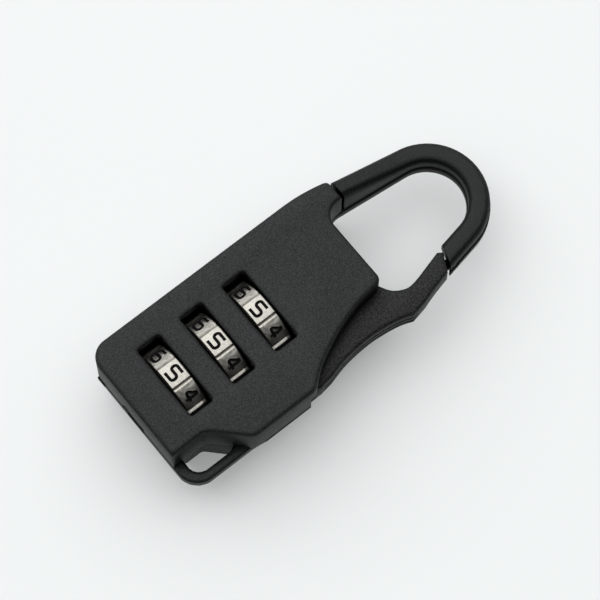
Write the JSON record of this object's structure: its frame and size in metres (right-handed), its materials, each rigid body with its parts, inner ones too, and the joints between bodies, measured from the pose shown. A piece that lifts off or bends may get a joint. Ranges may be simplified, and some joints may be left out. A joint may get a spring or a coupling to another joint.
{
  "type": "luggage combination padlock",
  "caption": "Small flat travel padlock: plastic case with number dials in windows, a fixed open hook, a sprung gate lever that closes it and a lanyard loop at one corner.",
  "frame": {"origin": "middle of the rear face's footprint, on the plane the lock lies on", "axes": "+Y from the bottom end to the top of the hook, +X to the right seen from the dial side, +Z from the rear face out through the dials"},
  "size_m": [0.0216, 0.055, 0.0121],
  "materials": {
    "case_plastic": "fine spark-eroded matte",
    "bar_plastic": "smooth satin",
    "lever_plastic": "coarser speckled matte",
    "inner_plastic": "satin",
    "sleeve_plastic": "natural white, satin",
    "dial_metal": "plated, figures recessed and inked black",
    "spring_steel": "bright drawn wire and strip"
  },
  "bodies": {
    "case": {"front_cover": "case_plastic", "rear_cover": "case_plastic", "hook_front_half": "bar_plastic", "gate_pivot_pin": "spring_steel", "dial_detent_spring": "spring_steel", "sleeve_spring": "spring_steel", "spindle_return_spring": "spring_steel"},
    "gate": {"gate_lever": "lever_plastic"},
    "spindle": {"lock_spindle": "spring_steel", "spindle_head": "inner_plastic"},
    "reset": {"reset_slider": "inner_plastic"},
    "dial_1": {"number_dial_1": "dial_metal"},
    "sleeve_1": {"code_sleeve_1": "sleeve_plastic"},
    "dial_2": {"number_dial_2": "dial_metal"},
    "sleeve_2": {"code_sleeve_2": "sleeve_plastic"},
    "dial_3": {"number_dial_3": "dial_metal"},
    "sleeve_3": {"code_sleeve_3": "sleeve_plastic"}
  },
  "joints": [
    {"name": "gate_swing", "type": "hinge", "parent": "case", "child": "gate", "pos_m": [0.0076, -0.0123, 0.0066], "axis": [0, 0, 1], "range_deg": [0, 9], "stiffness_Nm_per_rad": 0.01, "springref_deg": -11.46},
    {"name": "spindle_slide", "type": "slide", "parent": "case", "child": "spindle", "axis": [0, -1, 0], "range_m": [0, 0.00149], "deforming": ["spindle_return_spring"]},
    {"name": "reset_shift", "type": "slide", "parent": "case", "child": "reset", "axis": [1, 0, 0], "range_m": [0, 0.003], "deforming": ["sleeve_spring"]},
    {"name": "dial_1_turn", "type": "hinge", "parent": "case", "child": "dial_1", "pos_m": [-0.0018, -0.0207, 0.0064], "axis": [0, 1, 0], "continuous": true},
    {"name": "dial_2_turn", "type": "hinge", "parent": "case", "child": "dial_2", "pos_m": [-0.0018, -0.01402, 0.0064], "axis": [0, 1, 0], "continuous": true},
    {"name": "dial_3_turn", "type": "hinge", "parent": "case", "child": "dial_3", "pos_m": [-0.0018, -0.00734, 0.0064], "axis": [0, 1, 0], "continuous": true},
    {"name": "sleeve_1_lift", "type": "slide", "parent": "dial_1", "child": "sleeve_1", "axis": [0, 1, 0], "range_m": [0, 0.0014]},
    {"name": "sleeve_2_lift", "type": "slide", "parent": "dial_2", "child": "sleeve_2", "axis": [0, 1, 0], "range_m": [0, 0.0014]},
    {"name": "sleeve_3_lift", "type": "slide", "parent": "dial_3", "child": "sleeve_3", "axis": [0, 1, 0], "range_m": [0, 0.0014]}
  ],
  "couplings": [
    {"joint": "gate_swing", "follows": "spindle_slide", "rad_per_m": 105.37},
    {"joint": "sleeve_1_lift", "follows": "reset_shift", "ratio": 0.43333},
    {"joint": "sleeve_2_lift", "follows": "reset_shift", "ratio": 0.43333},
    {"joint": "sleeve_3_lift", "follows": "reset_shift", "ratio": 0.43333}
  ]
}
